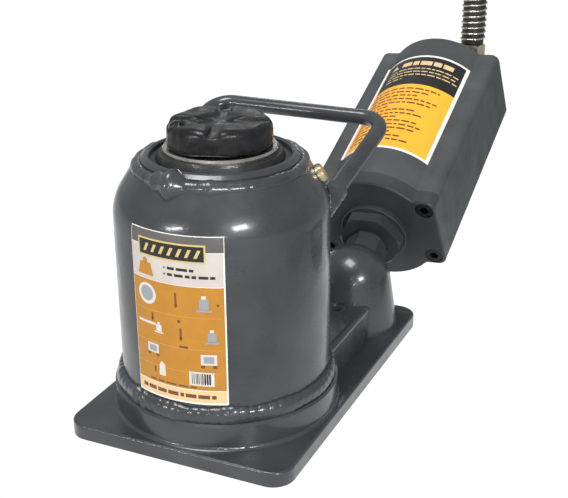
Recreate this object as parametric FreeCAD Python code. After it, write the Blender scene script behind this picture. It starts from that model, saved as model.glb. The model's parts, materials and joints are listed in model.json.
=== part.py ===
import FreeCAD, Part
import math
import os

# Air and hand hydraulic bottle jack, low pattern: a welded bottle on a base plate, with an air
# motor leaning back from a pump tower at the rear right.
# Millimetres. +Z is up. The origin is on the ram's axis, on the floor. The front faces -Y.

V = FreeCAD.Vector
UP = V(0, 0, 1)

# ---- driving dimensions ----------------------------------------------------------------------
CLOSED_HEIGHT = 149.0      # floor to the saddle's top, ram down

PLATE_HALF_W = 58.1
PLATE_FRONT = -58.2
PLATE_BACK = 129.9
PLATE_T = 7.5
PLATE_CORNER_R = 10.5
PLATE_EDGE_R = 1.2

BOSS_R = 55.2              # round foot that the bottle stands on
BOSS_TOP = 20.5
COVE_R = 1.7
DECK_HALF_W = 44.0         # raised deck between the bottle and the pump tower
DECK_TOP = 26.0
DECK_BACK = 112.0

BOTTLE_R = 51.0
BOTTLE_WALL = 4.5
SHOULDER_Z = 105.0         # where the straight wall starts to turn in
SHOULDER_ARC_R = 26.0
SHOULDER_TILT = 32.0       # degrees between the shoulder's cone and the vertical
SHOULDER_END_R = 41.6      # the cone ends here, under the head ring's weld

RING_R = 37.0
RING_BORE_R = 33.0
RING_TOP = 133.8
RAM_R = 26.8
RAM_TOP = 137.0
RUN = 0.05                 # radial clearance of a running fit
CYLINDER_BORE_R = 27.5
CYLINDER_R = 33.5
CYLINDER_FOOT = 10.0
GLAND_FOOT = 112.0
SADDLE_R = 24.4
SHANK_R = 12.0

HANDLE_R = 4.0             # carrying handle's rod
HANDLE_HALF_W = 49.6
HANDLE_FOOT = V(0, 26.0, 108.7)
HANDLE_FOOT_HALF_W = 44.6  # the legs close in a little towards the shoulder
HANDLE_GRIP = V(0, 87.8, 131.0)
HANDLE_BEND_R = 12.2       # how far from each corner its bend starts

MOTOR_LEAN = 24.0          # degrees that the motor's axis rises above the horizontal
MOTOR_CLOCK = 4.75         # degrees that the motor is screwed round its own axis
MOTOR_FOOT = V(28.8, 134.2, 51.0)   # centre of the end plate's outer face
MOTOR_LENGTH = 140.7
MOTOR_HALF_W = 39.3
MOTOR_HALF_T = 23.95
MOTOR_BULGE_R = 35.9
END_PLATE_T = 9.6
SCREW_X = 32.6
SCREW_Y = 17.6
AIR_BORE_R = 30.0

TOWER_AT = V(28.8, 101.4, 0)
TOWER_R = 20.0
TOWER_DOME_Z = 33.0
TOWER_FLARE = 4.2          # how much wider its foot is than its top
NECK_FACE = -27.2          # along the motor's axis, where the tower's machined face is

PORT_AT = V(43.1, 271.8, 122.3)     # centre of the air inlet elbow
HOSE_R = 5.0
GUARD_R = 8.0
HOSE_EXIT_Z = 134.0

# The free hose. It stands up out of the elbow, arches over and winds down into a coil on the floor.
COIL_CENTRE = V(193.0, 195.0, 0)
COIL_R = 51.0              # middle of the turns
ENTRY_ANGLE = 60.0         # degrees, where the hose comes onto the coil's third level
OUT_SHIFT = 14.0           # how far the last quarter turn swings out past the others
OUT_CENTRE = COIL_CENTRE - V(0, OUT_SHIFT, 0)
OUT_R = COIL_R + OUT_SHIFT
COIL_ENTRY = COIL_CENTRE + V(COIL_R * math.cos(math.radians(ENTRY_ANGLE)),
                             COIL_R * math.sin(math.radians(ENTRY_ANGLE)), 5 * HOSE_R)
HOSE_ROUTE = [
    V(43.1, 271.8, HOSE_EXIT_Z),
    V(43.9, 271.9, 158.0),
    V(41.3, 272.0, 195.0),
    V(63.0, 272.4, 230.5),
    V(103.0, 273.0, 244.0),
    V(143.0, 273.4, 230.0),
    V(164.0, 273.8, 195.0),
    V(162.5, 274.0, 152.0),
    V(157.0, 274.6, 116.0),
    V(155.4, 275.2, 67.5),
    V(168.6, 268.0, 40.6),
    V(191.7, 254.7, 25.4),
    COIL_ENTRY,
]
HOSE_OUT = V(OUT_CENTRE.x + OUT_R, OUT_CENTRE.y, 0)   # where the last turn ends, heading to -Y

# Along the hose's end fittings, from where the last turn ends.
END_AXIS_Z = 8.7
FERRULE_END = 26.0
NUT_END = 38.0
VALVE_END = 134.0
TAIL_END = 142.0
PLUG_END = 176.0
LEVER_PIN = V(0, NUT_END + 9.0, 16.3)     # from the fittings' axis
STEM_Y = LEVER_PIN.y + 25.0

RELEASE_AT = V(-26.0, DECK_BACK, 16.0)
BALL_R = 4.0
DELIVERY_AT = V(28.8, 75.0, 0)
SUCTION_AT = V(-2.0, 75.0, 0)
SEAT_Z = 12.0


# ---- helpers ---------------------------------------------------------------------------------
def cyl(radius, z0, z1, x=0.0, y=0.0):
    return Part.makeCylinder(radius, z1 - z0, V(x, y, z0), UP)


def ring(outer, inner, z0, z1, x=0.0, y=0.0):
    return cyl(outer, z0, z1, x, y).cut(cyl(inner, z0 - 1, z1 + 1, x, y))


def rod(start, end, radius):
    return Part.makeCylinder(radius, (end - start).Length, start, end - start)


def block(x0, x1, y0, y1, z0, z1):
    return Part.makeBox(x1 - x0, y1 - y0, z1 - z0, V(x0, y0, z0))


def prism(sides, across_flats, z0, z1, turn=0.0):
    """A regular prism about the Z axis, such as a nut's hexagon."""
    reach = across_flats / 2 / math.cos(math.pi / sides)
    corners = []
    for i in range(sides + 1):
        angle = math.radians(turn + 360.0 * i / sides)
        corners.append(V(reach * math.cos(angle), reach * math.sin(angle), z0))
    return Part.Face(Part.makePolygon(corners)).extrude(V(0, 0, z1 - z0))


def hex_nut(across_flats, z0, z1, turn=0.0, chamfer=0.6):
    """A hexagon whose two ends are turned down to a cone, as on a real nut."""
    reach = across_flats / 2 / math.cos(math.pi / 6)
    top = Part.makeCone(reach, reach - 2 * chamfer, chamfer, V(0, 0, z1 - chamfer), UP)
    foot = Part.makeCone(reach - 2 * chamfer, reach, chamfer, V(0, 0, z0), UP)
    waist = cyl(reach, z0 + chamfer, z1 - chamfer)
    return prism(6, across_flats, z0, z1, turn).common(waist.fuse([top, foot]))


def turned(outline, degrees=360.0, start=0.0):
    """Revolve an outline about Z. Each entry is (r, z), or (r, z, (mid r, mid z)) for an arc to it."""
    edges = []
    ends = [V(p[0], 0, p[1]) for p in outline]
    for i, p in enumerate(outline):
        a, b = ends[i - 1], ends[i]
        if len(p) == 3:
            edges.append(Part.Arc(a, V(p[2][0], 0, p[2][1]), b).toShape())
        elif (b - a).Length > 1e-6:
            edges.append(Part.LineSegment(a, b).toShape())
    face = Part.Face(Part.Wire(edges))
    if start:
        face.rotate(V(0, 0, 0), UP, start)
    return face.revolve(V(0, 0, 0), UP, degrees)


def upright_edges(shape, keep):
    """The edges along Z whose middle passes the test keep(x, y)."""
    found = []
    for edge in shape.Edges:
        box = edge.BoundBox
        upright = box.ZLength > 0.5 and max(box.XLength, box.YLength) < 1e-3
        if upright and keep(box.Center.x, box.Center.y):
            found.append(edge)
    return found


def level_edges(shape, z):
    return [e for e in shape.Edges if abs(e.BoundBox.ZMin - z) < 1e-4 and abs(e.BoundBox.ZMax - z) < 1e-4]


def path_of(points, share=0.45):
    """Straight runs joined by tangent arcs, each as large as its two runs allow."""
    edges, radii, last = [], [], points[0]
    for before, here, after in zip(points, points[1:], points[2:]):
        a, b = here - before, after - here
        turn = a.getAngle(b)
        cut = share * min(a.Length, b.Length)
        radii.append(cut / math.tan(turn / 2))
        start = here - V(a).normalize() * cut
        end = here + V(b).normalize() * cut
        inward = (V(b).normalize() - V(a).normalize()).normalize()
        sagitta = radii[-1] / math.cos(turn / 2) - radii[-1]
        edges.append(Part.LineSegment(last, start).toShape())
        edges.append(Part.Arc(start, here + inward * sagitta, end).toShape())
        last = end
    edges.append(Part.LineSegment(last, points[-1]).toShape())
    return edges, radii


def tube_along(edges, radius):
    start = edges[0].firstVertex().Point
    profile = Part.Wire(Part.Circle(start, edges[0].tangentAt(edges[0].FirstParameter), radius).toShape())
    return Part.Wire(edges).makePipeShell([profile], True, False)


def in_motor(shape):
    """Place a shape drawn about Z at the motor: local Z becomes the motor's axis, local -Y its top."""
    shape = shape.copy()
    shape.rotate(V(0, 0, 0), UP, -MOTOR_CLOCK)
    shape.rotate(V(0, 0, 0), V(1, 0, 0), MOTOR_LEAN - 90.0)
    shape.translate(MOTOR_FOOT)
    return shape


def to_motor(point):
    """A point's coordinates in the motor's own frame."""
    vertex = Part.Vertex(point)
    vertex.translate(MOTOR_FOOT * -1)
    vertex.rotate(V(0, 0, 0), V(1, 0, 0), 90.0 - MOTOR_LEAN)
    vertex.rotate(V(0, 0, 0), UP, MOTOR_CLOCK)
    return vertex.Point


NODES = []


def save(name, shape):
    if len(shape.Solids) == 1:
        shape = shape.Solids[0]
    assert shape.isValid() and shape.Solids, name
    assert all(solid.Volume > 0 for solid in shape.Solids), name
    shape.exportStep("parts/%s.step" % name)
    NODES.append((name, len(shape.Solids), round(shape.Volume / 1000.0, 2)))
    return shape


# ---- the bottle's outline, shared by the tube, its label and its plug -----------------------
TILT = math.radians(SHOULDER_TILT)


def shoulder_points(outset=0.0):
    """Where the wall's arc ends and where its cone ends, for the surface moved out by outset."""
    radius = SHOULDER_ARC_R + outset
    centre_r = BOTTLE_R - SHOULDER_ARC_R
    arc_end = (centre_r + radius * math.cos(TILT), SHOULDER_Z + radius * math.sin(TILT))
    half = TILT / 2
    arc_mid = (centre_r + radius * math.cos(half), SHOULDER_Z + radius * math.sin(half))
    return arc_mid, arc_end


def cone_z(radius, outset=0.0):
    _, (r, z) = shoulder_points(outset)
    return z + (r - radius) / math.tan(TILT)


def reservoir_tube():
    outer_mid, outer_end = shoulder_points()
    inner_mid, inner_end = shoulder_points(-BOTTLE_WALL)
    top = cone_z(SHOULDER_END_R)
    inner_r = BOTTLE_R - BOTTLE_WALL
    tube = turned([
        (inner_r, BOSS_TOP),
        (BOTTLE_R, BOSS_TOP),
        (BOTTLE_R, SHOULDER_Z),
        (outer_end[0], outer_end[1], outer_mid),
        (SHOULDER_END_R, top),
        (RING_R + 0.02, top),
        (RING_R + 0.02, cone_z(RING_R + 0.02, -BOTTLE_WALL)),
        (inner_end[0], inner_end[1]),
        (inner_r, SHOULDER_Z, inner_mid),
    ])
    return tube.cut(on_shoulder(cyl(PLUG_THREAD_R, -12, 6)))


PLUG_AZIMUTH = 25.0
PLUG_THREAD_R = 4.0
PLUG_RADIUS = 45.2


def on_shoulder(shape):
    """Place a shape drawn about Z so that Z is the shoulder's outward normal at the filler plug."""
    shape = shape.copy()
    shape.rotate(V(0, 0, 0), V(0, 1, 0), 90.0 - SHOULDER_TILT)
    shape.translate(V(PLUG_RADIUS, 0, cone_z(PLUG_RADIUS)))
    shape.rotate(V(0, 0, 0), UP, PLUG_AZIMUTH)
    return shape


def filler_plug():
    head = cyl(4.8, 0.4, 2.2).fuse(cyl(4.2, 2.2, 2.9))
    slot = block(-6, 6, -0.7, 0.7, 1.9, 4)
    return on_shoulder(head.fuse(cyl(PLUG_THREAD_R - 0.03, -5.6, 0.4)).cut(slot))


def bottle_label():
    low, high, first, span = 29.0, 111.0, -114.0, 52.5
    inner, outer = 0.03, 0.2
    def edge_point(outset, z):
        radius = SHOULDER_ARC_R + outset
        lift = math.asin((z - SHOULDER_Z) / radius)
        centre_r = BOTTLE_R - SHOULDER_ARC_R
        return centre_r + radius * math.cos(lift), z, (
            centre_r + radius * math.cos(lift / 2), SHOULDER_Z + radius * math.sin(lift / 2))
    top_out = edge_point(outer, high)
    top_in = edge_point(inner, high)
    return turned([
        (BOTTLE_R + inner, low),
        (BOTTLE_R + outer, low),
        (BOTTLE_R + outer, SHOULDER_Z),
        top_out,
        (top_in[0], high),
        (BOTTLE_R + inner, SHOULDER_Z, top_in[2]),
    ], span, first)


def bead(centre_r, centre_z, radius):
    return Part.makeTorus(centre_r, radius, V(0, 0, centre_z), UP)


# ---- base -----------------------------------------------------------------------------------
def motor_axis_point(s):
    return in_motor(Part.Vertex(V(0, 0, s))).Point


def base_casting():
    plate = block(-PLATE_HALF_W, PLATE_HALF_W, PLATE_FRONT, PLATE_BACK, 0, PLATE_T)
    plate = plate.makeFillet(PLATE_CORNER_R, upright_edges(plate, lambda x, y: True))
    plate = plate.makeFillet(PLATE_EDGE_R, level_edges(plate, PLATE_T))
    boss = turned([
        (0, 1), (BOSS_R + COVE_R, 1), (BOSS_R + COVE_R, PLATE_T),
        (BOSS_R, PLATE_T + COVE_R, (BOSS_R + COVE_R * 0.293, PLATE_T + COVE_R * 0.293)),
        (BOSS_R, BOSS_TOP - 1.0), (BOSS_R - 1.0, BOSS_TOP), (0, BOSS_TOP)])
    deck = block(-DECK_HALF_W, DECK_HALF_W, 20, DECK_BACK, 2, DECK_TOP)
    deck = deck.makeFillet(9.0, upright_edges(deck, lambda x, y: y > 50))
    deck = deck.makeFillet(3.0, level_edges(deck, DECK_TOP))
    deck = deck.cut(cyl(BOTTLE_R + 0.4, BOSS_TOP, DECK_TOP + 1))
    tower_foot = TOWER_AT + V(0, 0, PLATE_T)
    flare = Part.makeCone(TOWER_R + TOWER_FLARE, TOWER_R, TOWER_DOME_Z + 2 - PLATE_T, tower_foot, UP)
    tower = Part.makeCylinder(TOWER_R, TOWER_DOME_Z - 2, TOWER_AT + V(0, 0, 2), UP)
    dome = Part.makeSphere(TOWER_R, TOWER_AT + V(0, 0, TOWER_DOME_Z))
    beyond = in_motor(Part.makeCylinder(60, 80, V(0, 0, NECK_FACE), UP))
    tower = tower.fuse([dome, flare]).cut(beyond)
    body = plate.fuse([boss, deck, tower]).removeSplitter()
    socket = cyl(CYLINDER_R + 0.1, CYLINDER_FOOT, BOSS_TOP + 1)
    well = cyl(14, CYLINDER_FOOT - 3, CYLINDER_FOOT + 1)
    neck_bore = in_motor(cyl(9.0, -46.5, NECK_FACE + 1))
    chamber = in_motor(cyl(5.6, -49.5, -46))
    cuts = [socket, well, neck_bore, chamber, release_bore()]
    for at in (DELIVERY_AT, SUCTION_AT):
        cuts.append(ball_bore(at))
    return body.cut(cuts[0].fuse(cuts[1:] + drillings()))


def release_bore():
    return Part.makeCylinder(5.0, 30, RELEASE_AT + V(0, 1, 0), V(0, -1, 0))


def ball_bore(at):
    lower = cyl(BALL_R + RUN, SEAT_Z, DECK_TOP + 1, at.x, at.y)
    seat = Part.makeCone(1.5, BALL_R + RUN, BALL_R + RUN - 1.5, V(at.x, at.y, SEAT_Z - BALL_R - RUN + 1.5), UP)
    thread = cyl(6.0, 19.5, DECK_TOP + 1, at.x, at.y)
    return lower.fuse([seat, thread])


def drillings():
    """Oil ways, 3 mm across: suction, delivery and return."""
    low = SEAT_Z - 3.4
    pump = motor_axis_point(-48.5)
    ways = [
        (V(pump.x, pump.y, pump.z), V(pump.x, pump.y, low)),
        (V(pump.x, pump.y + 2.6, low), V(DELIVERY_AT.x, DELIVERY_AT.y, low)),
        (DELIVERY_AT + V(0, 0, 15.5), V(6, 4, CYLINDER_FOOT - 1.6)),
        (V(SUCTION_AT.x, 40, BOSS_TOP + 1), V(SUCTION_AT.x, 40, low)),
        (V(SUCTION_AT.x, 37.0, low), V(SUCTION_AT.x, SUCTION_AT.y, low)),
        (SUCTION_AT + V(0, 0, 15.5), pump),
        (V(RELEASE_AT.x, DECK_BACK - 27, RELEASE_AT.z), V(-6, 4, CYLINDER_FOOT - 1.6)),
        (V(RELEASE_AT.x, DECK_BACK - 27, RELEASE_AT.z), V(RELEASE_AT.x, 33.0, RELEASE_AT.z)),
        (V(RELEASE_AT.x, 36, RELEASE_AT.z), V(RELEASE_AT.x, 36, BOSS_TOP + 1)),
    ]
    return [rod(a, b, 1.5) for a, b in ways]


def check_ball(at):
    rest_z = SEAT_Z - BALL_R - RUN + BALL_R * math.sqrt(2.0) + 0.02
    return Part.makeSphere(BALL_R, V(at.x, at.y, rest_z))


def valve_plugs():
    plugs = []
    for at in (DELIVERY_AT, SUCTION_AT):
        key = prism(6, 5.0, 22.5, 27)
        plug = cyl(5.98, 19.6, DECK_TOP - 0.6).cut(key)
        plug.translate(at)
        plugs.append(plug)
    return Part.makeCompound(plugs)


# ---- release valve ----------------------------------------------------------------------------
def along_y(shape, at):
    """Turn a shape drawn about Z to point along +Y from a point."""
    shape = shape.copy()
    shape.rotate(V(0, 0, 0), V(1, 0, 0), -90)
    shape.translate(at)
    return shape


def release_valve():
    stem = cyl(5.0 - RUN, -22, 1.5)
    tip = Part.makeCone(1.0, 4.4, 3.5, V(0, 0, -25.5), UP)
    neck = cyl(6.0, 0.6, 2.2)
    knob = cyl(7.5, 2.2, 14.0)
    grips = [cyl(0.9, 2.8, 13.4, 7.9 * math.cos(a), 7.9 * math.sin(a))
             for a in (math.radians(20 * i) for i in range(18))]
    slot = block(-1.6, 1.6, -9, 9, 10.0, 15)
    body = stem.fuse([tip, neck, knob]).cut(grips[0].fuse(grips[1:] + [slot, release_pin_hole()]))
    return along_y(body, RELEASE_AT)


def release_pin_hole():
    return Part.makeCylinder(1.5, 20, V(-10, 0, 6.5), V(1, 0, 0))


def release_pin():
    return along_y(Part.makeCylinder(1.5, 13.6, V(-6.8, 0, 6.5), V(1, 0, 0)), RELEASE_AT)


# ---- ram group -------------------------------------------------------------------------------
def ram():
    body = turned([(0, 30), (RAM_R, 30), (RAM_R, RAM_TOP - 1.0), (RAM_R - 0.7, RAM_TOP), (0, RAM_TOP)])
    return body.cut(cyl(SHANK_R + RUN, RAM_TOP - 22, RAM_TOP + 1))


def ram_piston():
    body = turned([(0, 14), (CYLINDER_BORE_R - 0.9, 14), (CYLINDER_BORE_R - RUN, 15),
                   (CYLINDER_BORE_R - RUN, 30), (0, 30)])
    return body.cut(ring(40, 23.5, 19, 25))


def saddle():
    """A cast load cap: round top edge, cross grooves between four pads, and a notch at the rim."""
    edge = 3.2
    cap = turned([
        (0, RAM_TOP + 0.05), (SADDLE_R - 0.8, RAM_TOP + 0.05), (SADDLE_R, RAM_TOP + 1.2),
        (SADDLE_R, CLOSED_HEIGHT - edge),
        (SADDLE_R - edge, CLOSED_HEIGHT, (SADDLE_R - edge * 0.293, CLOSED_HEIGHT - edge * 0.293)),
        (0, CLOSED_HEIGHT)])
    groove = block(-40, 40, -3.0, 3.0, CLOSED_HEIGHT - 2.6, CLOSED_HEIGHT + 2)
    grooves = []
    for turn in (20, 110):
        piece = groove.copy()
        piece.rotate(V(0, 0, 0), UP, turn)
        grooves.append(piece)
    dish = Part.makeSphere(30, V(0, 0, CLOSED_HEIGHT + 27.6))
    notch = Part.makeCylinder(4.6, 12, V(0, 0, CLOSED_HEIGHT + 0.5), V(-0.72, -0.69, 0))
    notch.translate(V(-0.72, -0.69, 0) * 17.5)
    cap = cap.cut(dish.fuse(grooves + [notch]))
    return cap.fuse(cyl(SHANK_R, RAM_TOP - 20, RAM_TOP + 1))


def wiper():
    return turned([(RAM_R + RUN, 129.1), (RING_BORE_R - 0.05, 129.1), (RING_BORE_R - 0.05, 131.0),
                   (30.2, 131.0), (28.6, 134.2), (RAM_R + RUN, 134.2)])


def head_ring():
    return turned([(RING_BORE_R, 118), (RING_R, 118), (RING_R, RING_TOP - 2.0),
                   (RING_R - 1.6, RING_TOP - 0.5), (RING_BORE_R + 0.9, RING_TOP), (RING_BORE_R, RING_TOP - 0.9)])


def head_weld():
    """The bead round the head ring, with the lump where its run starts and stops."""
    foot = cone_z(SHOULDER_END_R)
    weld = bead(38.6, foot, 3.6)
    lump_at = math.radians(-122.0)
    lump = Part.makeSphere(5.0, V(39.2 * math.cos(lump_at), 39.2 * math.sin(lump_at), foot - 0.6))
    weld = weld.fuse(lump).cut(cyl(RING_R + 0.02, 0, 200).fuse(reservoir_tube()))
    return max(weld.Solids, key=lambda piece: piece.Volume)


def foot_weld():
    weld = turned([(BOTTLE_R + 0.02, BOSS_TOP + 0.02), (BOSS_R - 0.7, BOSS_TOP + 0.02),
                   (BOTTLE_R + 0.02, 29.0, (53.7, 26.6))])
    return weld.cut(block(-DECK_HALF_W - 0.5, DECK_HALF_W + 0.5, 19.5, 80, 0, 60))


# ---- carrying handle --------------------------------------------------------------------------
def handle_foot(side, reach):
    """A point on a leg's axis, so far in from where the leg meets the shoulder."""
    foot = V(side * HANDLE_FOOT_HALF_W, HANDLE_FOOT.y, HANDLE_FOOT.z)
    corner = V(side * HANDLE_HALF_W, HANDLE_GRIP.y, HANDLE_GRIP.z)
    return foot - (corner - foot).normalize() * reach


def handle_bend(before, corner, after):
    """The bend at one of the handle's corners: where it starts, where it ends, and the solid."""
    back, onward = (before - corner).normalize(), (after - corner).normalize()
    half = back.getAngle(onward) / 2.0
    middle = corner + (back + onward).normalize() * (HANDLE_BEND_R / math.cos(half))
    start = corner + back * HANDLE_BEND_R
    section = Part.Face(Part.Wire(Part.makeCircle(HANDLE_R, start, back)))
    solid = section.revolve(middle, onward.cross(back), 180.0 - 2.0 * math.degrees(half))
    return start, corner + onward * HANDLE_BEND_R, solid


def carry_handle():
    feet = [handle_foot(1, 16.0), handle_foot(-1, 16.0)]
    corners = [V(HANDLE_HALF_W, HANDLE_GRIP.y, HANDLE_GRIP.z), V(-HANDLE_HALF_W, HANDLE_GRIP.y, HANDLE_GRIP.z)]
    start, grip_start, bend = handle_bend(feet[0], corners[0], corners[1])
    grip_end, end, other_bend = handle_bend(corners[0], corners[1], feet[1])
    handle = rod(grip_start, grip_end, HANDLE_R)
    handle = handle.fuse([bend, other_bend, rod(feet[0], start, HANDLE_R), rod(end, feet[1], HANDLE_R)])
    handle = handle.cut(bottle_outside())
    return max(handle.Solids, key=lambda piece: piece.Volume)


def bottle_outside():
    outer_mid, outer_end = shoulder_points(0.02)
    radius = BOTTLE_R + 0.02
    return turned([(0, BOSS_TOP), (radius, BOSS_TOP), (radius, SHOULDER_Z),
                   (outer_end[0], outer_end[1], outer_mid), (RING_R, cone_z(RING_R, 0.02)),
                   (0, cone_z(RING_R, 0.02))])


def handle_welds():
    """One bead round each foot of the handle, between the rod and the shoulder."""
    welds = []
    for side in (1, -1):
        bead = rod(handle_foot(side, 13.0), handle_foot(side, -6.5), HANDLE_R + 1.3)
        weld = bead.cut(carry_handle()).cut(bottle_outside())
        welds.append(max(weld.Solids, key=lambda piece: piece.Volume))
    return Part.makeCompound(welds)


# ---- air motor -----------------------------------------------------------------------------
def motor_outline(outset=0.0):
    """The housing's section: a flat bar with round corners and a round bulge top and bottom."""
    bar = block(-MOTOR_HALF_W, MOTOR_HALF_W, -MOTOR_HALF_T, MOTOR_HALF_T, 0, 10)
    barrel = cyl(MOTOR_BULGE_R, 0, 10)
    both = bar.fuse(barrel).removeSplitter()
    corners = upright_edges(both, lambda x, y: abs(x) > MOTOR_HALF_W - 0.1)
    both = both.makeFillet(5.0, corners)
    inner = upright_edges(both, lambda x, y: abs(x) < MOTOR_HALF_W - 8 and abs(abs(y) - MOTOR_HALF_T) < 0.1)
    both = both.makeFillet(3.5, inner)
    face = [f for f in both.Faces if abs(f.CenterOfMass.z) < 1e-6][0]
    if outset:
        face = face.makeOffset2D(outset, join=0, fill=False, openResult=False)
    return face


def motor_bar(z0, z1, outset=0.0):
    face = motor_outline(outset)
    if not face.Faces:
        face = Part.Face(face.Wires[0])
    face = face.copy()
    face.translate(V(0, 0, z0))
    return face.extrude(V(0, 0, z1 - z0))


def screw_points():
    return [V(sx * SCREW_X, sy * SCREW_Y, 0) for sx in (1, -1) for sy in (1, -1)]


def soften(shape, z, size=0.5):
    return shape.makeChamfer(size, [e for e in level_edges(shape, z)])


def end_plate():
    body = soften(motor_bar(0, END_PLATE_T - 0.02), 0, 0.8)
    cuts = [cyl(14.05, -1, 5.5), cyl(8.6, -1, 20)]
    for p in screw_points():
        cuts.append(cyl(3.05, -1, 20, p.x, p.y))
        cuts.append(cyl(5.3, -1, 6.2, p.x, p.y))
    return body.cut(cuts[0].fuse(cuts[1:]))


def motor_housing():
    body = soften(motor_bar(END_PLATE_T, MOTOR_LENGTH), MOTOR_LENGTH, 1.0)
    port = to_motor(PORT_AT)
    cuts = [cyl(AIR_BORE_R, 0, 126), cyl(6.0, 120, 150, port.x, port.y)]
    for p in screw_points():
        cuts.append(cyl(2.55, 0, END_PLATE_T + 22, p.x, p.y))
    cuts.append(Part.makeCylinder(5.0, 12, V(0, MOTOR_BULGE_R + 2, 40), V(0, -1, 0)))
    return body.cut(cuts[0].fuse(cuts[1:]))


def motor_screws():
    screws = []
    for p in screw_points():
        head = cyl(4.9, 0.4, 6.15)
        shank = cyl(2.5, 6.15, END_PLATE_T + 20)
        key = prism(6, 4.6, -1, 3.4)
        screw = head.fuse(shank).cut(key)
        screw.translate(p)
        screws.append(screw)
    return Part.makeCompound(screws)


def motor_flange():
    """Round flange and large hexagon that clamp the motor to the pump barrel."""
    flange = turned([(0, -3.6), (19.4, -3.6), (19.7, -3.3), (19.7, -0.02), (0, -0.02)])
    spigot = cyl(14.0, -0.02, 5.4)
    big_hex = hex_nut(33.0, -10.5, -3.6, 0.0, 0.9)
    return flange.fuse([spigot, big_hex]).cut(cyl(8.52, -20, 10))


def pump_barrel():
    """Threaded pump barrel with its own hexagon; the plunger runs in its bore."""
    body = cyl(8.5, -13.5, 5.4).fuse([hex_nut(21.0, -26, -13.5, 22.0, 0.7), cyl(8.97, -44.0, -26)])
    return body.cut(cyl(5.0 + RUN, -60, 20).fuse(cyl(7.0, -45, -40)))


def barrel_washer():
    return ring(13.4, 9.05, NECK_FACE + 0.02, -26.02)


def plunger_seal():
    return ring(6.95, 5.0 + 2 * RUN, -43.9, -40.1)


PISTON_FOOT = 50.0
PISTON_STROKE = 18.0


def air_piston():
    """Cup-shaped piston whose rod is the pump's plunger. Its pocket takes the return spring."""
    head = cyl(27.4, PISTON_FOOT, PISTON_FOOT + 24).cut(ring(24, 9, PISTON_FOOT - 1, PISTON_FOOT + 19))
    groove = ring(40, 25.0, PISTON_FOOT + 18, PISTON_FOOT + 22)
    return head.cut(groove).fuse(cyl(5.0, -28.0, PISTON_FOOT + 1))


def piston_seal():
    return ring(27.46, 25.02, PISTON_FOOT + 18.05, PISTON_FOOT + 21.95)


def return_spring():
    """Drawn at its length with the piston fully forward."""
    wire, mean_r, turns, foot = 1.5, 16.0, 4.0, END_PLATE_T + 0.1
    ceiling = PISTON_FOOT - PISTON_STROKE + 19.0
    pitch = (ceiling - foot - 2 * wire - 0.4) / turns
    helix = Part.makeHelix(pitch, pitch * turns, mean_r)
    helix.translate(V(0, 0, foot + wire))
    profile = Part.Wire(Part.Circle(V(mean_r, 0, foot + wire), V(0, 1, 0), wire).toShape())
    return Part.Wire(helix).makePipeShell([profile], True, True)


def air_liner():
    return ring(AIR_BORE_R - 0.02, 27.5, END_PLATE_T + 0.02, 79.9)


def distributor():
    body = cyl(AIR_BORE_R - 0.02, 80, 125.9)
    ports = [cyl(2.0, 79, 130, 16 * math.cos(a), 16 * math.sin(a))
             for a in (math.radians(60 * i + 30) for i in range(6))]
    return body.cut(cyl(6.0, 79, 130).fuse(ports + [ring(40, 26, 96, 102), ring(40, 26, 110, 116)]))


def shuttle_valve():
    spool = cyl(6.0 - RUN, 86, 118)
    return spool.cut(ring(10, 4.0, 92, 98).fuse(ring(10, 4.0, 106, 112)))


def exhaust_muffler():
    stem = Part.makeCylinder(4.95, 5.8, V(0, MOTOR_BULGE_R + 0.1, 40), V(0, -1, 0))
    cap = Part.makeCylinder(8.0, 3.2, V(0, MOTOR_BULGE_R + 0.1, 40), V(0, 1, 0))
    crown = Part.makeCone(8.0, 5.5, 2.2, V(0, MOTOR_BULGE_R + 3.3, 40), V(0, 1, 0))
    return stem.fuse([cap, crown])


def motor_label():
    low, high = 31.0, 121.0
    skin = motor_bar(low, high, 0.2).cut(motor_bar(low - 1, high + 1, 0.04))
    window = block(-28.2, 26.4, -45, -MOTOR_HALF_T + 4, low, high)
    return skin.common(window)


# ---- air line --------------------------------------------------------------------------------
def inlet_elbow():
    port = to_motor(PORT_AT)
    stem = in_motor(cyl(5.97, MOTOR_LENGTH - 9, port.z, port.x, port.y))
    collar = in_motor(cyl(8.0, MOTOR_LENGTH + 0.02, MOTOR_LENGTH + 3.5, port.x, port.y))
    throat = in_motor(cyl(6.6, MOTOR_LENGTH + 0.02, port.z, port.x, port.y))
    ball = Part.makeSphere(7.4, PORT_AT)
    riser = Part.makeCylinder(6.9, 5.0, PORT_AT, UP)
    top = hex_nut(14.6, PORT_AT.z + 4.0, HOSE_EXIT_Z - 0.02, 10.0, 0.7)
    top.translate(V(PORT_AT.x, PORT_AT.y, 0))
    return stem.fuse([collar, throat, ball, riser, top])


def hose_edges():
    edges, radii = path_of(HOSE_ROUTE)
    print("hose radii", [round(r) for r in radii], "runs",
          [round((b - a).Length) for a, b in zip(HOSE_ROUTE, HOSE_ROUTE[1:])])
    return edges


def spring_guard(edges):
    """The coiled wire guard's envelope: a sleeve round the hose from the elbow into the first bend."""
    outer = tube_along(edges[:3], GUARD_R)
    inner = tube_along(edges[:3], HOSE_R + 0.3)
    return outer.cut(inner)


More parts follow.
